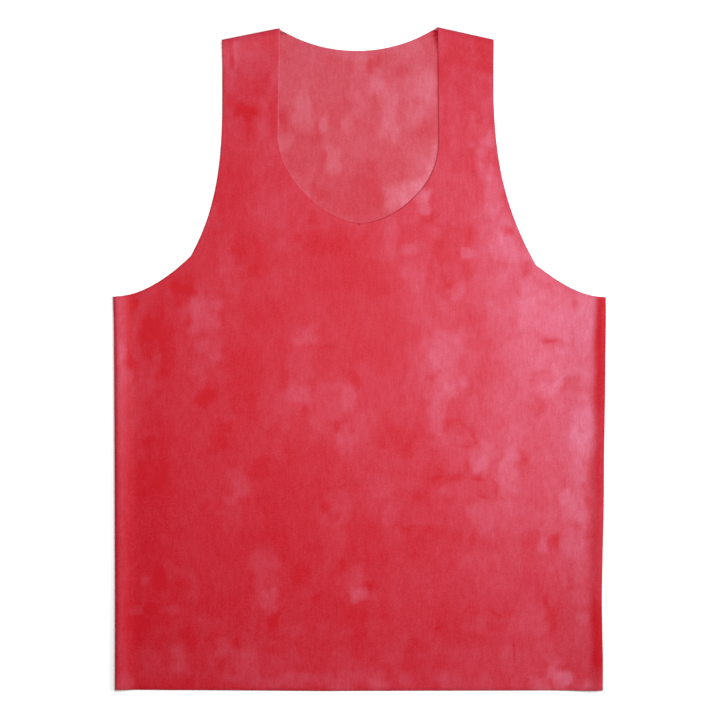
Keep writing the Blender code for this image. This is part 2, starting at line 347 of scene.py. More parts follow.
def zone_rows(armhole, inner, zones):
    """Rows over zones of (armhole from, armhole to, inner from, inner to, rows), shared where zones meet."""
    rows = [(armhole[0], inner[0])]
    for edge_from, edge_to, inner_from, inner_to, count in zones:
        starts = walk(armhole, np.linspace(edge_from, edge_to, count + 1)[1:])
        rows += zip(starts, walk(inner, np.linspace(inner_from, inner_to, count + 1)[1:]))
    return rows


def front_yoke(side):
    """One half of the front above the yoke, up its strap and round the shoulder fold to its lap strip."""
    armhole, kink = armhole_line(side)
    inner, scoop = front_inner_line(side)
    armhole_end, inner_end = lengths_along(armhole)[-1], lengths_along(inner)[-1]
    zones = (
        (0.0, kink, 0.0, scoop, LOW_ROWS),
        (kink, armhole_end - SHOULDER_RUN, scoop, inner_end - SHOULDER_RUN, HIGH_ROWS),
        (
            armhole_end - SHOULDER_RUN,
            armhole_end - CREST_MARGIN,
            inner_end - SHOULDER_RUN,
            inner_end - CREST_MARGIN,
            SHOULDER_ROWS,
        ),
    )
    rows = []
    for start, end in zone_rows(armhole, inner, zones):
        places = across(start, end)
        rows.append(np.column_stack([places, front_level(places[:, 0], places[:, 1])]))
    neckline, _ = back_inner_line(side)
    neckline_end = lengths_along(neckline)[-1]
    skin = fold_skin(side.crest, side.roll)
    for place, (inset, level) in enumerate(reversed(skin)):
        start = np.array(side.shoulder_corner) - (0.0, inset)
        end = np.array(side.neck_point) - (0.0, inset)
        if place >= CREST_STEPS:
            end = walk(neckline, [neckline_end - inset * NECK_ARC_SLANT])[0]
        rows.append(np.column_stack([across(start, end), np.full(HALF_COLUMNS + 1, level)]))
    return rows


def back_yoke(side):
    """One half of the back's outer face above the yoke line, up to its edge over the shoulder's lap strip."""
    armhole, kink = armhole_line(side)
    inner, arc = back_inner_line(side)
    armhole_end, inner_end = lengths_along(armhole)[-1], lengths_along(inner)[-1]
    split = armhole_end - BACK_ARMHOLE_SPLIT
    zones = (
        (0.0, kink, 0.0, BACK_KINK_MATE, LOW_ROWS),
        (kink, split, BACK_KINK_MATE, arc, HIGH_ROWS // 2),
        (split, armhole_end - RAMP_END, arc, inner_end - RAMP_END * NECK_ARC_SLANT, HIGH_ROWS // 2),
    )
    rows = [[(x, y, 0.0) for x, y in across(start, end)] for start, end in zone_rows(armhole, inner, zones)]
    for drop, level in reversed(BACK_EDGE):
        start = walk(armhole, [armhole_end - drop])[0]
        end = walk(inner, [inner_end - drop * NECK_ARC_SLANT])[0]
        rows.append([(x, y, level) for x, y in across(start, end)])
    return rows


def turned(rows):
    """A right-hand patch with its points from left to right."""
    return [row[::-1] for row in rows]


def flat(x, y):
    """The back panel's outer face lies on the table."""
    return np.zeros(np.shape(x))


def skin_mesh(name, patches, faces_down):
    """Patches joined into one open surface over the origin, in metres."""
    surface = bmesh.new()
    for patch in patches:
        placed = (np.array(patch, float) - (0.0, LENGTH / 2, 0.0)) * MM
        vertices = [[surface.verts.new(point) for point in row] for row in placed]
        for low, high in zip(vertices, vertices[1:]):
            for corners in zip(low, low[1:], high[1:], high):
                surface.faces.new(corners[::-1] if faces_down else corners)
    bmesh.ops.remove_doubles(surface, verts=surface.verts, dist=MERGE_DISTANCE * MM)
    surface.normal_update()
    rim = surface.verts.layers.float.new("rim")
    for vertex in surface.verts:
        if vertex.is_boundary and vertex.normal.z > FACING_UP:
            vertex[rim] = 1.0
            vertex.co.z -= RIM_DROP * MM
    mesh = bpy.data.meshes.new(name)
    surface.to_mesh(mesh)
    surface.free()
    mesh.shade_smooth()
    print(f"{name}: {len(mesh.vertices)} points, {len(mesh.polygons)} faces")
    return mesh


front_patches = [body_patch(front_half, front_level), front_yoke(LEFT), turned(front_yoke(RIGHT))]
back_patches = [body_patch(back_half, flat), back_yoke(LEFT), turned(back_yoke(RIGHT))]
front_skin = skin_mesh("front skin", front_patches, faces_down=False)
back_skin = skin_mesh("back skin", back_patches, faces_down=True)

# %% [markdown]
# ## Creases
# The sheet has been folded and smoothed by hand, so it has short shallow creases and dents. Each is a path
# of three places with half its width and its depth, in millimetres from the centre line and up from the
# hem. A ridge has a negative depth. Wide ones come and go along their way, and narrow ones are even. The
# paths become lines of edges that a later step presses into the sheet, and the faces near the narrow ones
# are divided so that they can follow.

# %% Table of creases
Crease = namedtuple("Crease", "start middle end half_width depth")
FRONT_CREASES = (
    Crease((66, 214), (100, 216), (140, 213), 4.5, 0.20),
    Crease((40, 194), (100, 192), (160, 196), 6.0, 0.12),
    Crease((26, 168), (55, 163), (90, 167), 6.0, 0.14),
    Crease((86, 154), (130, 152), (176, 156), 6.0, 0.12),
    Crease((96, 640), (99, 570), (106, 505), 7.0, -0.12),
    Crease((124, 622), (121, 570), (128, 500), 6.0, 0.14),
    Crease((-222, 392), (-214, 300), (-221, 210), 9.0, 0.16),
    Crease((212, 180), (219, 165), (215, 140), 6.0, 0.14),
    Crease((130, 60), (152, 80), (164, 130), 8.0, 0.14),
    Crease((-116, 600), (-112, 560), (-118, 520), 7.0, 0.12),
    Crease((40, 20), (70, 27), (100, 23), 7.0, 0.12),
    # Narrow ones, most of them where the right side was folded
    Crease((180, 356), (192, 354), (208, 357), 2.4, 0.46),
    Crease((170, 317), (184, 323), (196, 321), 1.9, 0.25),
    Crease((176, 311), (175, 314), (173, 318), 1.6, 0.16),
    Crease((93, 276), (105, 269), (113, 262), 2.0, 0.18),
    Crease((113, 262), (117, 256), (118, 248), 2.1, 0.20),
    Crease((90, 249), (108, 247), (127, 248), 1.5, 0.16),
    Crease((92, 260), (100, 260), (108, 260), 1.5, 0.13),
    Crease((137, 248), (140, 247), (143, 246), 1.7, 0.17),
    Crease((73, 215), (79, 216), (85, 214), 1.9, 0.18),
    Crease((85, 215), (98, 214), (111, 215), 1.6, 0.16),
    Crease((111, 216), (120, 214), (129, 212), 2.3, 0.30),
    Crease((132, 212), (136, 212), (140, 213), 1.6, 0.17),
    Crease((146, 214), (150, 213), (155, 213), 1.6, 0.17),
    Crease((119, 196), (130, 195), (141, 191), 2.1, 0.20),
    Crease((65, 318), (70, 317), (76, 317), 1.6, 0.17),
    Crease((77, 321), (80, 324), (84, 326), 1.6, 0.17),
    Crease((167, 238), (168, 234), (167, 230), 2.3, 0.17),
    Crease((48, 167), (62, 166), (80, 167), 1.6, 0.13),
    Crease((128, 87), (139, 77), (155, 72), 2.2, 0.15),
    Crease((74, 60), (80, 63), (86, 68), 2.0, 0.13),
    Crease((156, 58), (157, 40), (158, 18), 1.6, 0.15),
    Crease((113, 470), (111, 460), (109, 448), 2.0, 0.16),
    Crease((113, 388), (112, 378), (114, 368), 2.0, 0.16),
    Crease((-52, 90), (-44, 95), (-36, 103), 2.3, 0.12),
    Crease((-62, 280), (-56, 287), (-48, 292), 1.8, 0.12),
    Crease((-45, 345), (-33, 349), (-22, 346), 1.7, 0.11),
)
BACK_CREASES = (
    Crease((-60, 560), (-20, 572), (30, 566), 6.0, 0.12),
    Crease((10, 520), (30, 532), (52, 530), 5.0, 0.12),
    Crease((-150, 300), (-100, 310), (-40, 302), 6.0, 0.14),
    Crease((40, 240), (100, 232), (150, 244), 6.0, 0.18),
    Crease((-120, 130), (-60, 118), (10, 128), 5.0, 0.15),
    Crease((90, 90), (120, 140), (118, 190), 6.0, 0.14),
    Crease((-200, 60), (-180, 110), (-188, 180), 6.0, 0.17),
    Crease((120, 420), (90, 440), (60, 436), 5.0, 0.13),
)
CREASE_STEP = 3.0
CREASE_BREAK = 16.0
BREAK_GAIN = 3.2
BREAK_SHIFT = -0.9
NARROW = 3.0
FINE_REACH = 1.2
FINE_CUTS = 2


def crease_line(crease):
    """Places along a crease, each with its share of the way."""
    start, middle, end = (np.array(place, float) for place in crease[:3])
    handle = 2 * middle - (start + end) / 2
    shares = np.linspace(0.0, 1.0, max(2, int(np.linalg.norm(end - start) / CREASE_STEP)) + 1)
    return [((1 - t) ** 2 * start + 2 * (1 - t) * t * handle + t**2 * end, t) for t in shares]


def crease_paths(name, creases):
    """Lines of edges on the floor plane, whose points carry their crease's half width, depth and evenness."""
    points, edges = [], []
    carried = {"half_width": [], "depth": [], "evenness": []}
    for crease in creases:
        for place, t in crease_line(crease):
            if t > 0:
                edges.append((len(points) - 1, len(points)))
            points.append((place[0] * MM, (place[1] - LENGTH / 2) * MM, 0.0))
            carried["half_width"].append(crease.half_width * MM)
            carried["depth"].append(crease.depth * MM * max(0.0, math.sin(math.pi * t)) ** 0.5)
            carried["evenness"].append(float(crease.half_width < NARROW))
    mesh = bpy.data.meshes.new(name)
    mesh.from_pydata(points, edges, [])
    for label, values in carried.items():
        mesh.attributes.new(label, "FLOAT", "POINT").data.foreach_set("value", values)
    paths = bpy.data.objects.new(name, mesh)
    bpy.context.scene.collection.objects.link(paths)
    return paths


def refine(mesh, creases):
    """Divides the faces near the narrow creases, so that the grid can carry their troughs."""
    surface = bmesh.new()
    surface.from_mesh(mesh)
    centres = np.array([face.calc_center_median()[:2] for face in surface.faces]) / MM + (0.0, LENGTH / 2)
    near = np.zeros(len(centres), bool)
    for crease in creases:
        if crease.half_width < NARROW:
            places = np.array([place for place, _ in crease_line(crease)])
            gaps = np.linalg.norm(centres[:, None] - places[None], axis=2).min(axis=1)
            near |= gaps < crease.half_width + FINE_REACH
    edges = [edge for edge in surface.edges if any(near[face.index] for face in edge.link_faces)]
    bmesh.ops.subdivide_edges(surface, edges=edges, cuts=FINE_CUTS, use_grid_fill=True)
    surface.to_mesh(mesh)
    surface.free()
    mesh.shade_smooth()
    print(f"{mesh.name}: {near.sum()} faces divided near narrow creases, {len(mesh.polygons)} faces now")


refine(front_skin, FRONT_CREASES)
front_paths = crease_paths("front creases", FRONT_CREASES)
back_paths = crease_paths("back creases", BACK_CREASES)
print(f"{len(FRONT_CREASES)} creases in the front, {len(BACK_CREASES)} in the back")

# %% [markdown]
# ## Dusting
# Talc is rubbed on by hand, so it lies in clouds and smears, thick in some places and wiped off in others.
# A table lists them, the large ones first and then the small ones that correct them. Each row is a
# soft block with rounded corners: its middle, half its width and half its height in millimetres from the
# centre line and up from the hem, and its powder in hundredths, where a negative number is barer rubber.

# %% Table of smears
Smear = namedtuple("Smear", "x y half_width half_height powder")
FRONT_SMEARS = (
    # Upper right, the palest part: thick powder and painted sheen
    (190, 335, 70, 125, 16), (128, 335, 42, 105, 2), (136, 450, 24, 50, 5), (172, 425, 30, 45, 6),
    (176, 385, 16, 25, 4), (135, 368, 18, 26, -7), (155, 400, 14, 16, -5), (232, 375, 12, 32, 14),
    (65, 350, 17, 58, 6), (205, 372, 16, 20, 8), (190, 334, 18, 11, 4), (194, 308, 12, 9, 12),
    (227, 265, 14, 30, 18), (221, 222, 11, 14, 10), (219, 188, 13, 19, 12), (190, 155, 48, 50, 7),
    (204, 275, 26, 20, -3), (212, 245, 12, 22, 6), (212, 330, 16, 16, 4), (224, 108, 10, 25, 6),
    (219, 150, 13, 16, 9), (215, 308, 10, 9, -8), (181, 292, 10, 16, -8), (168, 236, 6, 9, -6),
    (186, 250, 8, 7, -4), (136, 325, 15, 14, -6), (118, 310, 10, 12, -4), (112, 374, 6, 12, -2),
    (89, 384, 8, 15, 5), (141, 376, 12, 14, 3),
    # Right middle
    (90, 334, 16, 32, 13), (80, 282, 10, 24, 10), (89, 262, 11, 11, 5), (123, 236, 11, 15, 12),
    (151, 226, 10, 24, 13), (128, 178, 14, 17, 8), (42, 264, 19, 22, -4), (28, 330, 10, 14, -2),
    (55, 370, 10, 20, -2), (22, 207, 12, 16, 4), (64, 200, 12, 9, -2), (75, 218, 14, 12, -3),
    (44, 278, 12, 12, 4), (94, 240, 12, 18, 5), (150, 192, 10, 14, 6), (128, 160, 14, 8, 4),
    (35, 176, 9, 14, 3.5),
    # Low right
    (100, 65, 30, 22, -3), (70, 145, 28, 22, -3), (175, 125, 12, 34, -6), (199, 64, 10, 20, -2),
    (199, 151, 7, 10, -8.5), (187, 147, 5, 9, 7), (172, 75, 16, 18, 4), (115, 130, 9, 7, 3),
    (20, 12, 10, 10, 6), (-12, 8, 16, 13, 6), (90, 8, 14, 8, 4), (182, 6, 10, 8, 10), (206, 8, 8, 8, 8),
    (47, 12, 7, 6, 4), (80, 13, 11, 8, 3), (196, 20, 8, 12, 9), (208, 11, 7, 6, 10), (232, 9, 8, 7, 7),
    (34, 82, 14, 18, 2),
    # Left middle
    (-60, 170, 60, 50, -2), (-22, 186, 12, 18, 5), (-15, 62, 24, 28, -3), (8, 150, 20, 24, -2.5),
    (-102, 226, 9, 14, -4), (-40, 245, 40, 16, -2), (-40, 300, 30, 12, 4), (4, 262, 16, 26, 4),
    (-57, 362, 17, 13, 9.5), (-62, 330, 15, 22, 3), (-61, 302, 11, 11, 8), (-13, 300, 9, 18, 9),
    (-14, 255, 10, 14, 9), (-32, 270, 16, 22, 5), (-82, 280, 22, 26, 2), (-126, 206, 15, 18, 7),
    (-130, 174, 13, 11, 4), (-95, 118, 14, 32, 6), (-94, 90, 13, 9, 5), (-30, 152, 12, 34, 3),
    (3, 97, 9, 9, 11), (-3, 112, 10, 15, 4), (-120, 320, 18, 42, -3), (-58, 215, 34, 24, -1),
    (-137, 270, 9, 7, -2), (-60, 118, 8, 9, -2),
    # Upper and low left
    (-216, 350, 12, 60, 5), (-208, 230, 20, 44, -3), (-148, 52, 10, 10, -3), (-238, 6, 12, 14, 6),
    (-185, 40, 55, 34, 3.5), (-95, 28, 26, 22, 2.5), (-178, 404, 14, 10, -5), (-158, 385, 15, 24, 10),
    (-146, 345, 11, 13, 6), (-166, 316, 8, 16, 5), (-213, 370, 13, 32, -6), (-195, 345, 10, 26, -3),
    (-156, 298, 11, 10, -4), (-230, 288, 7, 26, 3), (-187, 32, 7, 12, 5), (-141, 45, 7, 9, 5),
    (-120, 22, 18, 16, 5), (-66, 11, 16, 7, 5), (-200, 62, 24, 22, -2), (-168, 40, 11, 22, -2),
    # Chest and straps
    (-22, 432, 50, 34, -4.5), (-130, 480, 22, 55, -3.5), (-115, 645, 24, 18, 7), (-97, 448, 14, 30, -4),
    (-132, 420, 10, 22, 3), (-148, 482, 8, 14, 4), (17, 450, 8, 16, 3.5), (130, 648, 12, 20, -5),
    (127, 536, 11, 24, 12), (88, 560, 16, 60, 2.5), (62, 497, 8, 11, 12), (50, 448, 8, 6, 9),
    (32, 458, 6, 24, 5), (56, 420, 11, 22, 7), (109, 444, 7, 5, 13), (136, 505, 11, 25, 13),
    (146, 455, 14, 24, 13), (126, 560, 8, 16, 5), (88, 456, 13, 22, -5), (110, 458, 11, 12, -4),
    (70, 480, 8, 7, -5), (150, 466, 7, 6, -6), (129, 543, 5, 9, -6), (168, 427, 6, 9, -7),
    (95, 600, 18, 76, -3), (112, 650, 26, 18, -2), (-35, 456, 22, 14, -3), (-46, 480, 8, 7, -3),
    (10, 455, 15, 11, -2), (-90, 476, 18, 22, 3), (-137, 444, 8, 22, 4), (-110, 440, 16, 20, -2),
    (-97, 632, 9, 18, -4), (-97, 570, 6, 11, 3),
    # Small patches of the straps and chest
    (-118, 586, 9, 8, -5), (-104, 655, 16, 6, -4), (-126, 651, 2.5, 9, 6), (-128, 638, 2.5, 8, -5),
    (-98, 592, 5, 8, 3), (-87, 585, 3.5, 24, -2.5), (-91, 550, 6, 8, 3), (-92, 534, 3, 3, 4),
    (-150, 401, 9, 6, -5), (-173, 380, 7, 10, -3.5), (-178, 415, 9, 8, -3.5), (25, 408, 12, 8, -3),
    (56, 489, 9, 4, 2), (72, 485, 4, 5, 2), (67, 504, 5, 7, 8), (78, 464, 6, 7, 7.5), (98, 405, 7, 11, 8),
    (108, 425, 8, 11, -3), (114, 575, 2.5, 12, 3.5), (121, 597, 6, 17, 3.5), (128, 614, 3.5, 4, -3.5),
    (101, 536, 7, 9, -3), (134, 560, 5, 10, 4), (128, 465, 6, 7, 3.5), (133, 484, 6, 6, 3),
    (144, 458, 5, 7, 5), (140, 430, 8, 8, -3.5), (162, 453, 5, 8, -7), (171, 428, 5, 7, -7),
    (193, 411, 4.5, 4.5, -6), (219, 393, 5, 4, -5), (172, 406, 9, 9, 2), (136, 394, 3, 4, 6),
    (155, 376, 4, 5, -5), (141, 385, 8, 8, 3), (135, 418, 30, 22, -3.5), (145, 435, 6, 7, -4),
    (152, 466, 6, 5, -9.5), (131, 514, 8, 5, -4), (115, 533, 4, 5, -4), (124, 540, 4, 10, 4),
    (-105, 590, 7, 6, -4), (-128, 598, 6, 8, -3), (-104, 625, 7, 6, 4.5), (-87, 626, 5, 9, 4.5),
    (-75, 438, 50, 22, 2), (60, 452, 5, 7, 5), (45, 443, 8, 4, 5.5), (45, 425, 5, 6, 4),
    (97, 452, 13, 13, 3), (-168, 392, 5, 12, -1), (-170, 402, 5, 5, -4.5), (-170, 374, 5, 5, -4.5),
    (-145, 381, 9, 8, -3), (185, 387, 16, 8, -3.5), (221, 390, 6, 5, -7.5), (-227, 331, 7, 5, -4),
    (-212, 366, 9, 10, -3), (-148, 348, 5, 10, -3), (-64, 459, 5, 5, -4), (-84, 464, 6, 8, -3),
    (-78, 436, 10, 10, -2.5), (143, 437, 7, 7, -5), (146, 468, 8, 6, -3.5), (119, 530, 5, 5, 4),
    (79, 424, 4, 14, 3), (95, 485, 18, 22, 2), (50, 478, 9, 5, 4), (147, 366, 4, 8, 4),
    (159, 401, 4, 9, -4.5), (190, 364, 9, 4, 7.5), (203, 345, 7, 4, 8.5), (128, 475, 5, 6, 4),
    (136, 439, 7, 6, -4), (160, 414, 4, 5, -5), (138, 385, 16, 16, 2.5), (-178, 385, 4, 9, 4.5),
    (-129, 646, 2.5, 10, -4), (-100, 607, 6, 5, -3.5), (-112, 579, 5, 4, -3.5), (102, 444, 4, 4, -5),
    (131, 453, 4, 9, 4), (90, 412, 4, 4, -4.5), (104, 408, 4, 5, 4), (79, 405, 4, 12, 3),
    (72, 384, 6, 5, -4), (-108, 424, 7, 9, -3), (-102, 384, 22, 18, -2), (-148, 393, 10, 10, -3),
    (134, 550, 4, 8, -4), (130, 590, 5, 14, 3), (-131, 618, 6, 13, 3), (6, 449, 9, 8, 2),
    (-178, 399, 11, 5, 2.5),
    # Small patches of the body's right
    (48, 243, 6, 8, -3), (27, 183, 4, 7, 3.5), (190, 135, 8, 7, -3), (114, 182, 5, 6, 3),
    (9, 18, 6, 11, 2.5), (233, 259, 4, 6, 3.5), (239, 271, 3, 4, -3.5), (214, 256, 9, 22, -3),
    (156, 220, 10, 5, -3.5), (172, 318, 7, 6, -2.5), (73, 318, 6, 5, -3), (222, 368, 14, 20, -1.5),
    (176, 200, 12, 40, -1.5), (192, 356, 8, 3, -6), (206, 345, 10, 3, 4), (226, 299, 10, 4, 4),
    (232, 281, 7, 4, 5), (226, 331, 7, 6, 3), (95, 253, 5, 5, -4.5), (115, 263, 4, 6, -4.5),
    (80, 266, 3.5, 4, -4), (87, 205, 4, 4, 4), (190, 26, 4, 4, -4), (201, 10, 5, 4, -4.5),
    (225, 7, 8, 6, 4.5), (127, 8, 9, 8, 3.5), (172, 100, 12, 8, 3), (116, 68, 12, 10, 2),
    (186, 46, 10, 6, 2.5), (222, 55, 5, 9, 3), (231, 351, 8, 5, -4.5), (118, 248, 9, 5, -4.5),
    (124, 237, 9, 9, -3), (56, 312, 5, 18, -3.5), (145, 203, 4, 5, 4.5), (158, 240, 10, 18, -2),
    (197, 246, 6, 6, -3.5), (206, 17, 6, 4, 4), (12, 264, 10, 10, -2), (95, 300, 5, 4, 6),
    (80, 321, 6, 5, -4.5), (185, 300, 6, 5, -5), (204, 314, 5, 5, 4), (218, 290, 9, 8, -3),
    (233, 298, 6, 6, 4), (113, 227, 4, 6, -5), (86, 228, 7, 7, -4.5), (140, 207, 5, 9, -5),
    (158, 243, 4, 7, -3), (147, 236, 6, 8, -2.5), (234, 244, 6, 8, 4.5), (213, 223, 5, 5, -3.5),
    (183, 146, 4, 6, 5.5), (208, 196, 6, 10, 5), (235, 153, 7, 4, 4), (213, 12, 5, 6, 4.5),
    (172, 7, 5, 5, -4.5), (185, 68, 6, 14, 3), (108, 314, 5, 6, 10), (134, 306, 9, 7, -4.5),
    (168, 284, 12, 12, -3.5), (155, 305, 35, 38, -1.5), (206, 307, 5, 8, -5), (203, 321, 8, 4, 5),
    (228, 314, 6, 9, 4.5), (90, 270, 9, 8, -5.5), (80, 249, 7, 7, 4.5), (18, 249, 9, 7, -4.5),
    (95, 195, 16, 14, 3), (130, 152, 14, 6, 1.5), (140, 224, 4, 5, 4.5), (204, 150, 6, 9, -3),
    (233, 190, 5, 7, -6), (153, 32, 9, 14, 4.5), (195, 33, 8, 4, 4.5), (190, 8, 7, 5, -5),
    (28, 18, 6, 9, -3), (0, 5, 4, 6, -4.5), (8, 105, 6, 5, -6.5), (230, 89, 5, 5, 4.5), (229, 30, 4, 10, 4),
    (57, 360, 6, 14, -3.5), (92, 305, 6, 7, 8), (112, 290, 8, 8, 2.5), (128, 290, 8, 10, -3.5),
    (138, 275, 8, 10, -4), (162, 297, 8, 9, -3.5), (172, 311, 6, 5, -3), (226, 320, 7, 10, 3),
    (127, 227, 5, 11, 5), (224, 222, 8, 8, 4), (214, 198, 8, 10, 4), (85, 140, 12, 12, 2.5),
    (172, 152, 10, 7, -3), (184, 171, 3.5, 4, -5), (140, 130, 2.5, 9, 4), (215, 104, 6, 4, -3),
    (208, 112, 3, 8, 4), (190, 91, 4, 9, -4), (196, 72, 5, 12, -3), (228, 72, 6, 7, 6), (123, 66, 4, 9, 3),
    (112, 59, 9, 7, 3), (24, 80, 9, 12, -3), (62, 46, 12, 8, -2.5),
    # Small patches of the body's left
    (-109, 93, 4, 8, 3), (-133, 277, 9, 4, 3), (-213, 270, 6, 11, 2.5), (-170, 309, 7, 8, -3),
    (-44, 366, 9, 5, -1.5), (-75, 316, 6, 13, -3), (-23, 18, 4, 7, -3.5), (-171, 8, 7, 8, -2.5),
    (-216, 67, 5, 5, -3), (-172, 55, 9, 12, -2), (-208, 140, 12, 40, -1.5), (-108, 118, 4, 6, -4),
    (-86, 263, 8, 9, -3.5), (-133, 205, 7, 9, -3), (-21, 267, 5, 5, -4.5), (-16, 308, 5, 9, -4),
    (-34, 186, 5, 6, -4.5), (-133, 24, 7, 9, -4.5), (-162, 350, 5, 9, 4), (-241, 345, 4, 14, 4),
    (-160, 332, 13, 6, 3), (-190, 82, 12, 5, 3.5), (-226, 82, 6, 5, 3.5), (-135, 265, 18, 18, -1.5),
    (-102, 290, 16, 16, -2), (-40, 10, 14, 8, 3), (-148, 250, 9, 14, -2.5), (-218, 240, 7, 30, 1),
    (-26, 66, 16, 20, 3), (6, 145, 8, 12, 2), (-108, 70, 5, 14, 3), (-97, 83, 9, 4, -2),
    (-190, 32, 6, 6, -4.5), (-66, 303, 6, 9, -3), (-68, 284, 12, 5, 3), (-40, 362, 75, 40, -2),
    (-66, 366, 7, 8, -3), (-24, 266, 8, 8, -5.5), (-49, 309, 4, 6, -4.5), (-14, 237, 7, 6, 5),
    (-28, 313, 9, 12, 3), (-118, 193, 6, 5, -5.5), (-137, 208, 7, 8, -3.5), (-132, 172, 12, 8, -3.5),
    (-26, 176, 6, 6, -6), (-40, 105, 130, 60, -1.2), (-202, 112, 6, 12, -3.5), (-96, 95, 9, 6, -2),
    (-92, 119, 10, 8, -3), (-143, 50, 11, 7, -1.5), (-98, 7, 20, 6, 3.5), (14, 8, 9, 8, 3.5),
    (-234, 7, 8, 7, 2), (-223, 378, 8, 16, 4), (-240, 343, 5, 7, 6), (-6, 313, 7, 8, -4.5),
    (-214, 256, 11, 40, 3), (-233, 336, 5, 8, -4), (-237, 320, 6, 8, 3.5), (-229, 388, 6, 12, -3.5),
    (-183, 121, 14, 7, 2.5), (-170, 105, 7, 16, 2), (-217, 112, 6, 5, 4.5), (-212, 83, 6, 6, -3),
    (-228, 58, 8, 22, -3), (-93, 106, 8, 8, -4), (-88, 70, 6, 8, -3), (-125, 47, 4, 5, -4),
    (-70, 61, 12, 6, 2), (-88, 41, 11, 5, -3), (-16, 127, 3, 7, -3), (-18, 38, 11, 6, 3),
    (-13, 26, 16, 9, 2),
)
BACK_SMEARS = (
    (-57, 588, 9, 21, 11), (-38, 580, 7, 11, 14), (-52, 616, 7, 8, 8), (-75, 560, 7, 10, 8),
    (-28, 537, 9, 15, 13), (-12, 572, 7, 10, 8), (-47, 506, 12, 7, 4), (2, 500, 44, 24, -7),
    (-60, 555, 22, 38, -6), (76, 528, 8, 30, 8), (42, 655, 24, 12, 9), (-30, 650, 46, 10, 6),
    (-2, 605, 10, 26, 4), (0, 640, 8, 13, 9), (18, 621, 8, 14, 14), (30, 590, 10, 32, 15),
    (62, 606, 17, 32, 9), (52, 580, 12, 9, 3), (68, 532, 13, 28, 8), (48, 504, 18, 15, 20),
    (66, 614, 12, 16, 5), (28, 612, 12, 12, -4), (67, 506, 7, 18, 14), (42, 491, 14, 8, 8),
    (-30, 535, 14, 16, -5), (-77, 575, 5, 16, -6), (12, 635, 8, 8, -6), (66, 569, 13, 8, -8),
    (-72, 585, 9, 11, -4), (12, 522, 15, 16, -3), (-60, 650, 30, 9, -3), (-40, 506, 9, 8, -6),
    (36, 513, 7, 6, -4), (44, 520, 9, 5, -6), (40, 492, 12, 4, 5), (72, 525, 5, 12, 5), (15, 592, 4, 5, -2),
    (42, 630, 9, 7, -4.5), (60, 600, 7, 5, -7), (-46, 566, 5, 14, -3), (-25, 643, 9, 5, -4),
    (22, 640, 8, 4, -3), (38, 643, 12, 7, 3), (72, 564, 9, 4, 4), (65, 552, 8, 8, -6),
    (28, 562, 6, 6, -3.5), (13, 534, 6, 6, -7), (-16, 590, 20, 9, -2), (-69, 591, 6, 8, 4),
    (-35, 587, 5, 6, -4), (-70, 580, 6, 6, 4), (-7, 566, 5, 7, -4), (-34, 536, 4, 7, 2),
    (16, 630, 6, 6, -4.5), (52, 501, 5, 5, -5), (69, 580, 6, 5, -3.5), (-39, 502, 4, 5, -4.5),
    (38, 562, 5, 7, 4.5), (-50, 511, 9, 5, -4.5), (52, 572, 11, 5, 3.5), (2, 490, 22, 16, -2),
    (-30, 583, 4, 6, -4), (38, 602, 4, 12, 3.5), (45, 512, 6, 6, -4.5), (52, 592, 5, 5, -3),
    (73, 588, 8, 8, -3), (74, 622, 5, 14, 3),
)
print(f"{len(FRONT_SMEARS)} smears on the front, {len(BACK_SMEARS)} on the back")

# %% [markdown]
# ## Powder and painted light on the points
# The smears are added up at every point of a skin. The places are first shifted by noise, so that the
# blocks get ragged edges as clouds have, and small blocks are shifted less. To them come a slow slope over
# the sheet, paler towards the upper right, which is painted light and sheen on top of the talc; a band of
# talc and painted sheen along the left fold; a band of bare rubber and painted shade along the right fold;
# and the painted highlight and painted shade of the scoop's cut edge. The back's part that the front hides
# gets the front's smears again, mirrored and turned end for end, and a painted shadow beside the right
# neck point. All of it is stored on the points, and so is a painted shade along the right fold.

# %% Add up the powder and the painted light and shade
PERCENT = 0.01
WARPS = ((24.0, 7.0), (9.0, 5.0))
WARP_SEED = 1
SMALL_SMEAR = 7.0
SMALL_WARP = 0.35
SMEAR_SIZES = (12.0, 30.0)
SMEAR_EDGES = (2.0, 1.2)
SMEAR_CORNER = 3.0
SMEAR_STRENGTH = 1.25

# The slow slope: powder in the middle, and how much paler the sheet is at the right edge and at the neck,
# painted light and sheen from the upper right on top of the talc
BASE_POWDER = 0.092
RIGHTWARD_PAINTED_LIGHT = 0.055
UPWARD_PAINTED_LIGHT = 0.03
BACK_POWDER = 0.075

# The side folds: where they end, the band of talc and painted sheen on the left, and on the right the band of
# bare rubber and painted shade and the painted shade where the fold rolls away
FOLD_TOP = CORNER_HEIGHT + 8
FOLD_FADE = 10.0
PALE_HEIGHTS = (20, 260, 290, 400)
PALE_BAND_TALC_AND_SHEEN = (0.055, 0.075, 0.14, 0.14)
PALE_INSET = 7.0
PALE_REACH = 5.5
Band = namedtuple("Band", "height reach softness powder")
BARE_AND_SHADED_BAND = (
    Band(0, 8.0, 8.0, 0.12),
    Band(12, 9.5, 8.0, 0.10),
    Band(30, 11.5, 9.0, 0.0),
    Band(70, 12.0, 9.0, 0.0),
    Band(100, 11.5, 14.0, 0.08),
    Band(170, 11.5, 14.0, 0.08),
    Band(200, 11.5, 14.0, 0.06),
    Band(270, 11.0, 14.0, 0.05),
    Band(310, 11.0, 9.0, 0.01),
    Band(347, 13.0, 9.0, 0.01),
    Band(360, 11.2, 8.0, 0.01),
    Band(400, 11.2, 8.0, 0.01),
)
BAND_WAVE = 11.0
PAINTED_FOLD_SHADE_INSET = 8.0
PAINTED_FOLD_SHADE_REACH = 6.0

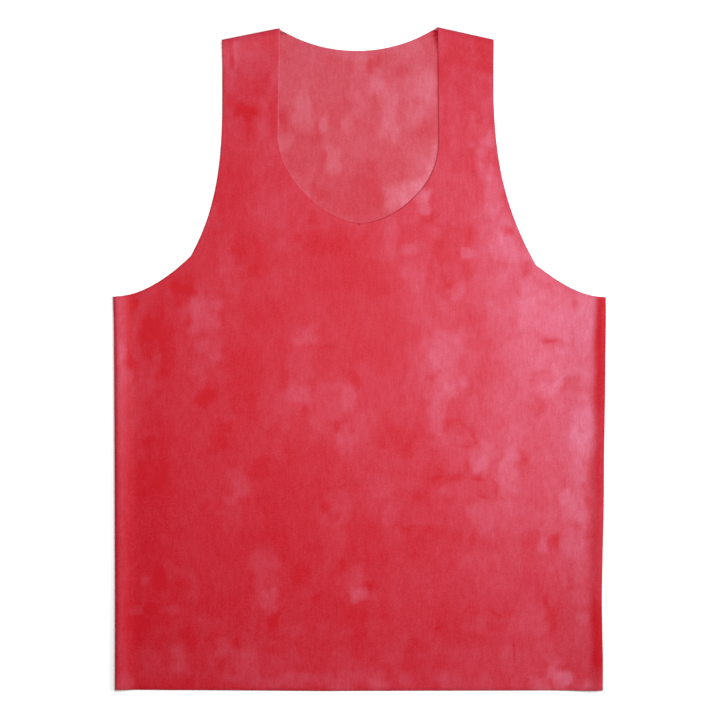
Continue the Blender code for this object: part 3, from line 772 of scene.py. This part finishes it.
# The neck: painted highlight and painted shade on the scoop's cut edge from left to right, and the painted
# shadow wedge at the right neck point
NECK_RIM_X = 83.0
RIM_PLACES = (-82.5, -70.0, -40.0, -25.0, -5.0, 20.0, 56.0, 70.0)
RIM_HIGHLIGHT_AND_SHADE = (0.36, 0.50, 0.66, 0.55, 0.0, -0.06, -0.12, -0.06)
PAINTED_SHADOW_WEDGE = Smear(78.5, 668, 2.8, 12, -42)

# The hidden part of the back
HIDDEN_TOP = 470.0
HIDDEN_FADE = 60.0
HIDDEN_TURN = 470.0
HIDDEN_SQUEEZE = 0.9
HIDDEN_SHARE = 0.7


def skin_places(mesh):
    """The mesh's points in millimetres, from the centre line and up from the hem."""
    places = np.empty(len(mesh.vertices) * 3, np.float32)
    mesh.vertices.foreach_get("co", places)
    return places.reshape(-1, 3) / MM + (0.0, LENGTH / 2, 0.0)


def stored(mesh, name):
    values = np.empty(len(mesh.vertices), np.float32)
    mesh.attributes[name].data.foreach_get("value", values)
    return values


def ragged(places):
    """The same places, shifted by noise of each length and reach in millimetres."""
    # Without a seed of its own this noise takes one from the clock, and each run would look different
    noise.seed_set(WARP_SEED)
    shifted = places[:, :2].copy()
    for length, reach in WARPS:
        shifted += [reach * np.array(noise.noise_vector(Vector(place) / length))[:2] for place in places]
    return shifted[:, 0], shifted[:, 1]


def smeared(places, smears):
    """The smears' powder at each place. The smaller a smear is, the harder is its edge."""
    x, y = ragged(places)
    powder = np.zeros(len(x))
    for row in smears:
        smear = Smear(*row)
        size = min(smear.half_width, smear.half_height)
        warp = SMALL_WARP if size < SMALL_SMEAR else 1.0
        across_share = np.abs(warp * x + (1 - warp) * places[:, 0] - smear.x) / smear.half_width
        up_share = np.abs(warp * y + (1 - warp) * places[:, 1] - smear.y) / smear.half_height
        edge = np.interp(size, SMEAR_SIZES, SMEAR_EDGES)
        block = np.exp(-((across_share**SMEAR_CORNER + up_share**SMEAR_CORNER) ** edge))
        powder += smear.powder * PERCENT * block
    return SMEAR_STRENGTH * powder


def store(mesh, name, values):
    """Stores a number on each point, for the sheet tree and the shader to read."""
    mesh.attributes.new(name, "FLOAT", "POINT").data.foreach_set("value", np.asarray(values, np.float32))
    print(f"{mesh.name}: {name} from {values.min():.2f} to {values.max():.2f}")


def beside_fold(y):
    """1 along the side folds, fading to 0 above the armholes' corners."""
    return np.clip((FOLD_TOP - y) / FOLD_FADE, 0.0, 1.0)


def front_powder(mesh):
    """Slow slope of painted light and sheen, smears, bands of talc, painted sheen and painted shade along the
    two side folds, and the painted highlight and painted shade on the rim of the scoop.
    """
    places = skin_places(mesh)
    x, y = places[:, 0], places[:, 1]
    # Paler towards the upper right: painted light and sheen on top of the talc
    powder = BASE_POWDER + RIGHTWARD_PAINTED_LIGHT * x / HALF_CHEST + UPWARD_PAINTED_LIGHT * (2 * y / LENGTH - 1)
    powder += smeared(places, FRONT_SMEARS)
    left_inset = x - section_value("left_x", y)
    left_talc_and_sheen = np.interp(y, PALE_HEIGHTS, PALE_BAND_TALC_AND_SHEEN)
    # Along the left fold: more talc, and painted sheen on the fold's crest
    powder += left_talc_and_sheen * np.exp(-(((left_inset - PALE_INSET) / PALE_REACH) ** 2)) * beside_fold(y)
    right_inset = section_value("right_x", y) - x
    heights, *columns = np.array(BARE_AND_SHADED_BAND).T
    reach, softness, left_on = (np.interp(y, heights, column) for column in columns)
    # Along the right fold: bare rubber, and painted shade where the fold rolls away from the sheen
    bare = np.clip((reach + np.sin(y / BAND_WAVE) - right_inset) / softness + 0.5, 0.0, 1.0)
    bare = bare * bare * (3 - 2 * bare) * beside_fold(y)
    powder = powder * (1 - bare) + left_on * bare
    # The scoop's cut edge: painted highlight on the left, painted shade on the right
    painted_neck_rim = stored(mesh, "rim") * (np.abs(x) < NECK_RIM_X) * (y > NECK_BOTTOM[1] - 1)
    return powder + painted_neck_rim * np.interp(x, RIM_PLACES, RIM_HIGHLIGHT_AND_SHADE)


def painted_shade_by_fold(mesh):
    """Painted shade along the right fold, where it rolls away from the light."""
    x, y, _ = skin_places(mesh).T
    inset = section_value("right_x", y) - x
    return np.exp(-(((inset - PAINTED_FOLD_SHADE_INSET) / PAINTED_FOLD_SHADE_REACH) ** 2)) * beside_fold(y)


def back_powder(mesh):
    """Even coat and smears, with a painted shadow where the front's edge rides up beside the right neck
    point.
    """
    places = skin_places(mesh)
    turned_round = places * (HIDDEN_SQUEEZE, -1.0, 1.0) + (0.0, HIDDEN_TURN, 0.0)
    hidden = np.clip((HIDDEN_TOP - places[:, 1]) / HIDDEN_FADE, 0.0, 1.0)
    hidden = hidden * smeared(turned_round, FRONT_SMEARS)
    # Painted shadow beside the right neck point, where the front's raised edge shades the back
    beside = (places[:, 0] - PAINTED_SHADOW_WEDGE.x) / PAINTED_SHADOW_WEDGE.half_width
    below = (places[:, 1] - PAINTED_SHADOW_WEDGE.y) / PAINTED_SHADOW_WEDGE.half_height
    painted_shadow = PAINTED_SHADOW_WEDGE.powder * PERCENT * np.exp(-(beside**2) - below**2)
    return BACK_POWDER + smeared(places, BACK_SMEARS) + painted_shadow + HIDDEN_SHARE * hidden


store(front_skin, "powder", front_powder(front_skin))
store(back_skin, "powder", back_powder(back_skin))
# Painted shade along the right fold
store(front_skin, "hollow", painted_shade_by_fold(front_skin))

# %% [markdown]
# ## The rubber
# Natural rubber sheet is calendered smooth, so bare it has a soft gloss. Talc turns it matt and pale, as
# its grains scatter white light over the red. The shader mixes the two by one share of powder: the points'
# attribute, which also carries painted light and shade, less the creases' wiped talc and painted shade,
# plus clouds, mottle and grain at their real sizes in millimetres. The same share raises the roughness. A
# painted shade darkens the right fold.

# %% Node helper, colours and the rubber's materials


def linear(hex_colour):
    """An sRGB hex colour as linear RGBA."""
    parts = [int(hex_colour[i : i + 2], 16) / 255 for i in (0, 2, 4)]
    return [part / 12.92 if part <= 0.04045 else ((part + 0.055) / 1.055) ** 2.4 for part in parts] + [1.0]


def add(tree, kind, links=None, **settings):
    """Adds a node, sets its properties, and fills its inputs, by name or number, with sockets or values."""
    made = tree.nodes.new(kind)
    for name, value in settings.items():
        setattr(made, name, value)
    for key, value in (links or {}).items():
        if isinstance(key, str):
            key = next(i for i, socket in enumerate(made.inputs) if socket.name == key and socket.enabled)
        socket = made.inputs[key]
        if isinstance(value, bpy.types.NodeSocket):
            tree.links.new(value, socket)
        else:
            socket.default_value = value
    return made


Pattern = namedtuple("Pattern", "size_mm stretch detail low high weight")
Finish = namedtuple("Finish", "name chalk extra_powder unevenness brightness least_rough most_rough")
PATTERNS = (
    Pattern(50.0, 1.7, 2.0, 0.38, 0.62, 0.06),
    Pattern(20.0, 1.7, 3.0, 0.40, 0.62, 0.14),
    Pattern(6.0, 1.7, 2.0, 0.30, 0.70, 0.14),
    Pattern(2.2, 5.0, 2.0, 0.35, 0.65, 0.09),
)
NOISE_ROUGHNESS = 0.6
GRAIN_MM = 1.6
GRAIN_IN_DUST = 0.08
GRAIN_IN_SHADE = 0.20
GRAIN_IN_RELIEF = 0.5
MOTTLE_IN_SHADE = 0.12
PAINTED_FOLD_DARKENING = 0.14
THIN_DUST = 0.09
CREASE_WIPE_AND_SHADE = 0.35
BUMP_STRENGTH = 0.2
BUMP_MM = 0.25
RUBBER_IOR = 1.52
SHINE = 0.05


def scaled(tree, vector, factor):
    return add(tree, "ShaderNodeVectorMath", {0: vector, "Scale": factor}, operation="SCALE").outputs[0]


def maths(tree, operation, *values):
    return add(tree, "ShaderNodeMath", dict(enumerate(values)), operation=operation).outputs[0]


def on_points(tree, name):
    """A number stored on the points, for the shader."""
    return add(tree, "ShaderNodeAttribute", attribute_name=name).outputs["Fac"]


def swung(tree, pattern, swing, base):
    """A base value, raised and lowered by a pattern that runs from 0 to 1."""
    return maths(tree, "MULTIPLY_ADD", maths(tree, "SUBTRACT", pattern, 0.5), swing, base)


def rubber(finish):
    """Dusted rubber sheet, its colour between bare rubber and thick talc by the powder at each place."""
    material = bpy.data.materials.new(finish.name)
    material.use_nodes = True
    tree = material.node_tree
    shader = tree.nodes["Principled BSDF"]
    places = scaled(tree, add(tree, "ShaderNodeTexCoord").outputs["Object"], 1 / MM)

    # Clouds, mottle and specks, each as a share of the powder that lies there
    clouding = 1.0
    for pattern in PATTERNS:
        drawn_out = {"Vector": places, "Scale": (1.0, 1 / pattern.stretch, 1.0)}
        stretched = add(tree, "ShaderNodeMapping", drawn_out).outputs[0]
        noise_links = {"Vector": stretched, "Scale": 1 / pattern.size_mm, "Detail": pattern.detail}
        noise_links["Roughness"] = NOISE_ROUGHNESS
        mottle = add(tree, "ShaderNodeTexNoise", noise_links).outputs["Fac"]
        half = pattern.weight / 2 * finish.unevenness
        range_links = {"Value": mottle, "From Min": pattern.low, "From Max": pattern.high}
        range_links |= {"To Min": -half, "To Max": half}
        patches = add(tree, "ShaderNodeMapRange", range_links, interpolation_type="SMOOTHSTEP").outputs[0]
        clouding = maths(tree, "ADD", clouding, patches)
    grain_links = {"Vector": places, "Scale": 1 / GRAIN_MM, "Detail": 1.0}
    grain = add(tree, "ShaderNodeTexNoise", grain_links).outputs["Fac"]
    # The creases are painted darker: talc wiped from them, and painted shade in their troughs
    powder = maths(tree, "MULTIPLY_ADD", on_points(tree, "crease"), -CREASE_WIPE_AND_SHADE, on_points(tree, "powder"))

    # Clouds break up the faint dust on bare rubber too, so a little is added before them and taken off after
    lying = maths(tree, "ADD", powder, THIN_DUST + finish.extra_powder)
    share = maths(tree, "SUBTRACT", maths(tree, "MULTIPLY", lying, clouding), THIN_DUST)
    share = swung(tree, grain, GRAIN_IN_DUST, share)

    mix_links = {"Factor": share, "A": linear(BARE), "B": linear(finish.chalk)}
    dusted = add(tree, "ShaderNodeMix", mix_links, data_type="RGBA").outputs["Result"]
    shade = swung(tree, grain, GRAIN_IN_SHADE, finish.brightness)
    # Painted shade along the right fold, darker where it rolls away from the light
    shade = maths(tree, "MULTIPLY_ADD", on_points(tree, "hollow"), -PAINTED_FOLD_DARKENING, shade)
    shade = swung(tree, mottle, MOTTLE_IN_SHADE, shade)
    tree.links.new(scaled(tree, dusted, shade), shader.inputs["Base Color"])
    matt_links = {"Value": share, "To Min": finish.least_rough, "To Max": finish.most_rough}
    matt = add(tree, "ShaderNodeMapRange", matt_links)
    tree.links.new(matt.outputs[0], shader.inputs["Roughness"])
    relief = maths(tree, "MULTIPLY_ADD", grain, GRAIN_IN_RELIEF, mottle)
    bump_links = {"Height": relief, "Strength": BUMP_STRENGTH, "Distance": BUMP_MM * MM}
    bump = add(tree, "ShaderNodeBump", bump_links)
    tree.links.new(bump.outputs[0], shader.inputs["Normal"])
    shader.inputs["IOR"].default_value = RUBBER_IOR
    shader.inputs["Specular IOR Level"].default_value = SHINE
    return material


BARE = "B31421"
OUTER = Finish("natural rubber sheet, outer face dusted", "D587A3", 0.0, 1.0, 1.0, 0.42, 0.75)
# The inner face is painted darker, 0.95 of the outer's brightness: painted shade, as it lies below the front
INNER = Finish("natural rubber sheet, inner face dusted", "D5879A", 0.17, 0.75, 0.95, 0.45, 0.75)
outside_rubber = rubber(OUTER)
inside_rubber = rubber(INNER)
print("materials:", outside_rubber.name, "/", inside_rubber.name)

# %% [markdown]
# ## From skin to sheet
# One Geometry Nodes tree makes a wall from each skin. It lifts the sheet on the air that is caught under
# it, presses in the creases by their distance from the paths, then copies the face inwards by the sheet's
# thickness and closes the cut edges. The tree is used twice, and its result is kept as a plain mesh.

# %% The sheet tree


def point_number(tree, name):
    """A number that the points carry, for the sheet tree."""
    return add(tree, "GeometryNodeInputNamedAttribute", {"Name": name}, data_type="FLOAT").outputs[0]


def sheet_tree():
    """The tree, and the identifier of each of its inputs."""
    tree = bpy.data.node_groups.new("rubber sheet from a skin", "GeometryNodeTree")
    sockets = {}
    wanted = (
        ("Skin", "NodeSocketGeometry"),
        ("Crease paths", "NodeSocketObject"),
        ("Thickness", "NodeSocketFloat"),
        ("Air height", "NodeSocketFloat"),
        ("Air length", "NodeSocketFloat"),
        ("Seed", "NodeSocketFloat"),
        ("Outer material", "NodeSocketMaterial"),
        ("Inner material", "NodeSocketMaterial"),
    )
    for name, kind in wanted:
        sockets[name] = tree.interface.new_socket(name=name, in_out="INPUT", socket_type=kind).identifier
    tree.interface.new_socket(name="Sheet", in_out="OUTPUT", socket_type="NodeSocketGeometry")
    given = add(tree, "NodeGroupInput").outputs

    # How far each point lies from the nearest crease, seen from above
    place = add(tree, "GeometryNodeInputPosition").outputs[0]
    on_floor = add(tree, "ShaderNodeVectorMath", {0: place, 1: (1, 1, 0)}, operation="MULTIPLY").outputs[0]
    paths = add(tree, "GeometryNodeObjectInfo", {"Object": given["Crease paths"]}).outputs["Geometry"]
    near_links = {0: paths, 2: on_floor}
    near = add(tree, "GeometryNodeProximity", near_links, target_element="EDGES").outputs["Distance"]
    nearest = add(tree, "GeometryNodeSampleNearest", {0: paths, 1: on_floor}, domain="POINT").outputs[0]
    read = {}
    for name in ("half_width", "depth", "evenness"):
        read_links = {0: paths, 1: point_number(tree, name), 2: nearest}
        read[name] = add(tree, "GeometryNodeSampleIndex", read_links).outputs[0]
    share = maths(tree, "DIVIDE", near, read["half_width"])
    falling = maths(tree, "MULTIPLY", maths(tree, "MULTIPLY", share, share), -1.0)
    trough = maths(tree, "MULTIPLY", maths(tree, "EXPONENT", falling), read["depth"])

    # Wide creases are broken up by noise and narrow ones aren't
    break_links = {"Vector": place, "Scale": 1 / (CREASE_BREAK * MM), "Detail": 1.0}
    broken = add(tree, "ShaderNodeTexNoise", break_links).outputs[0]
    breaks = maths(tree, "MULTIPLY_ADD", broken, BREAK_GAIN, BREAK_SHIFT)
    filled = maths(tree, "MULTIPLY_ADD", maths(tree, "SUBTRACT", 1.0, breaks), read["evenness"], breaks)
    pressed = maths(tree, "MULTIPLY", trough, filled)

    # Slow swells where air is caught between the panels
    waves = maths(tree, "DIVIDE", 1.0, given["Air length"])
    swell_links = {"Vector": place, "W": given["Seed"], "Scale": waves, "Detail": 1.0}
    swell = add(tree, "ShaderNodeTexNoise", swell_links, noise_dimensions="4D").outputs[0]
    air = maths(tree, "MULTIPLY", swell, given["Air height"])
    moved = maths(tree, "MULTIPLY", maths(tree, "SUBTRACT", air, pressed), point_number(tree, "free"))
    normal = add(tree, "GeometryNodeInputNormal").outputs[0]
    offset = scaled(tree, normal, moved)
    skin = add(tree, "GeometryNodeSetPosition", {0: given["Skin"], "Offset": offset}).outputs[0]

    # The wall: the skin, and the same skin moved inwards with sides that close the cut edges
    creased_links = {0: skin, "Name": "crease", "Value": maths(tree, "MULTIPLY", pressed, 1 / MM)}
    creased = add(tree, "GeometryNodeStoreNamedAttribute", creased_links, data_type="FLOAT", domain="POINT")
    skin = creased.outputs[0]
    inwards = maths(tree, "MULTIPLY", given["Thickness"], -1.0)
    wall_links = {0: skin, "Offset": normal, "Offset Scale": inwards, "Individual": False}
    wall = add(tree, "GeometryNodeExtrudeMesh", wall_links, mode="FACES")
    flipped = add(tree, "GeometryNodeFlipFaces", {0: wall.outputs["Mesh"]}).outputs[0]
    joined = add(tree, "GeometryNodeJoinGeometry")
    tree.links.new(flipped, joined.inputs[0])
    tree.links.new(skin, joined.inputs[0])
    merge_links = {0: joined.outputs[0], "Distance": MERGE_DISTANCE * MM}
    merged = add(tree, "GeometryNodeMergeByDistance", merge_links).outputs[0]
    real = add(tree, "GeometryNodeRealizeInstances", {0: merged}).outputs[0]
    outer = add(tree, "GeometryNodeSetMaterial", {0: real, "Material": given["Outer material"]}).outputs[0]
    inner_links = {0: outer, 1: wall.outputs["Top"], "Material": given["Inner material"]}
    add(tree, "NodeGroupOutput", {0: add(tree, "GeometryNodeSetMaterial", inner_links).outputs[0]})
    return tree, sockets


tree, sockets = sheet_tree()
print("sheet tree:", len(tree.nodes), "nodes")

# %% [markdown]
# ## The two panels
# Only the face that looks up is free to swell, and less so above the chest, where the sheet lies flatter.
# The turned-under parts and the lap strips are pressed between the shirt and the table, so they stay where
# the frame has them.

# %% Make the sheets from the skins
AIR_HEIGHT = 1.1
AIR_LENGTH = 85.0
AIR_SEED = 3.0
CHEST_TOP = 440.0
CHEST_FADE = 90.0
CHEST_SHARE = 0.25

# The levels between which each panel's faces become free
FRONT_FREE = (0.6, FLAT_TOP)
BACK_FREE = (-1.0, 0.0)


def free_face(mesh, start, end):
    """How free each point is to swell, from 0 at a level of start millimetres to 1 at a level of end."""
    normals = np.empty(len(mesh.vertices) * 3, np.float32)
    mesh.vertices.foreach_get("normal", normals)
    up = np.abs(normals.reshape(-1, 3)[:, 2])
    places = skin_places(mesh)
    lifted = np.clip((places[:, 2] - start) / (end - start), 0.0, 1.0)
    below_chest = np.clip((CHEST_TOP - places[:, 1]) / CHEST_FADE, 0.0, 1.0)
    return lifted * up**2 * (CHEST_SHARE + (1 - CHEST_SHARE) * below_chest)


def sheet(name, skin, values):
    """The tree's result on a skin, as a plain mesh object with nothing live on it."""
    raw = bpy.data.objects.new(name + " raw", skin)
    bpy.context.scene.collection.objects.link(raw)
    modifier = raw.modifiers.new("sheet", "NODES")
    modifier.node_group = tree
    for key, value in values.items():
        modifier[sockets[key]] = value
    bpy.context.view_layer.update()
    graph = bpy.context.evaluated_depsgraph_get()
    mesh = bpy.data.meshes.new_from_object(raw.evaluated_get(graph))
    mesh.name = name
    bpy.data.objects.remove(raw)
    made = bpy.data.objects.new(name, mesh)
    bpy.context.scene.collection.objects.link(made)
    mesh.shade_smooth()
    triangles = sum(len(polygon.vertices) - 2 for polygon in mesh.polygons)
    print(f"{name}: {triangles} triangles, {[slot.name for slot in mesh.materials if slot]}")
    return made


store(front_skin, "free", free_face(front_skin, *FRONT_FREE))
store(back_skin, "free", free_face(back_skin, *BACK_FREE))
shared = {"Thickness": WALL * MM, "Seed": AIR_SEED, "Air length": AIR_LENGTH * MM}
shared |= {"Outer material": outside_rubber, "Inner material": inside_rubber}
front_air = {"Crease paths": front_paths, "Air height": AIR_HEIGHT * MM}
back_air = {"Crease paths": back_paths, "Air height": 0.0}
front_sheet = sheet("front_sheet", front_skin, shared | front_air)
back_sheet = sheet("back_sheet", back_skin, shared | back_air)
for paths in (front_paths, back_paths):
    bpy.data.objects.remove(paths)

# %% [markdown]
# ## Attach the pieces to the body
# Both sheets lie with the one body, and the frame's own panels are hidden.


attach(front_sheet, "root")
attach(back_sheet, "root")
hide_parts("front_panel")
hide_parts("back_panel")

# %% [markdown]
# ## Floor, light and camera
# The photograph is a cut-out on white, taken from straight above. A wide soft lamp hangs over the shirt,
# and a window on the right makes the sheet palest there. The white table glows a little, as a cut-out's
# ground does. The long lens keeps the outline as flat as in the photograph.

# %% Stage the picture
PIXEL_MM = 1.0152
FRAME_PIXELS = 720
CAMERA_HEIGHT = 2.4
CAMERA_X = 0.6
CAMERA_Y = -0.9
SENSOR_MM = 36.0
FLOOR_SIZE = 6.0
FLOOR_DROP = 0.2
FLOOR_GREY = "FAFAFA"
FLOOR_ROUGHNESS = 0.8
TABLE_GLOW = 0.16
Lamp = namedtuple("Lamp", "name place target size power")
OVERHEAD = Lamp("overhead softbox", (0.06, 0.09, 0.90), (0.06, 0.09, 0.0), 0.6, 7.75)
WINDOW = Lamp("window on the right", (1.7, 0.2, 1.4), (0.0, 0.0, 0.0), 0.9, 28.0)
WORLD_LIGHT = 0.22


def floor():
    bpy.ops.mesh.primitive_plane_add(size=FLOOR_SIZE, location=(0.0, 0.0, -FLOOR_DROP * MM))
    made = bpy.context.object
    made.name = "floor"
    paint = bpy.data.materials.new("white painted table")
    paint.use_nodes = True
    shader = paint.node_tree.nodes["Principled BSDF"]
    shader.inputs["Base Color"].default_value = linear(FLOOR_GREY)
    shader.inputs["Roughness"].default_value = FLOOR_ROUGHNESS
    shader.inputs["Emission Color"].default_value = linear(FLOOR_GREY)
    shader.inputs["Emission Strength"].default_value = TABLE_GLOW
    made.data.materials.append(paint)


def soft_light(lamp):
    """A round soft lamp, turned towards its target."""
    light = bpy.data.lights.new(lamp.name, "AREA")
    light.shape = "DISK"
    light.size = lamp.size
    light.energy = lamp.power
    made = bpy.data.objects.new(lamp.name, light)
    bpy.context.scene.collection.objects.link(made)
    made.location = lamp.place
    direction = np.array(lamp.target) - np.array(lamp.place)
    made.rotation_euler = (math.acos(-direction[2] / np.linalg.norm(direction)), 0.0, 0.0)
    made.rotation_euler.z = math.atan2(direction[0], -direction[1]) + math.pi
    return made


def overhead_camera():
    data = bpy.data.cameras.new("camera")
    data.sensor_width = SENSOR_MM
    half_frame = FRAME_PIXELS / 2 * PIXEL_MM * MM
    data.lens = SENSOR_MM / 2 * (CAMERA_HEIGHT - FLAT_TOP * MM) / half_frame
    made = bpy.data.objects.new("camera", data)
    bpy.context.scene.collection.objects.link(made)
    made.location = (CAMERA_X * MM, CAMERA_Y * MM, CAMERA_HEIGHT)
    bpy.context.scene.camera = made
    print(f"camera: {data.lens:.1f} mm lens at {CAMERA_HEIGHT} m")


floor()
soft_light(OVERHEAD).visible_camera = False
soft_light(WINDOW)
overhead_camera()
world = bpy.data.worlds.new("white studio")
world.use_nodes = True
background = world.node_tree.nodes["Background"]
background.inputs["Color"].default_value = (1.0, 1.0, 1.0, 1.0)
background.inputs["Strength"].default_value = WORLD_LIGHT
bpy.context.scene.world = world
bpy.context.scene.view_settings.view_transform = "Standard"
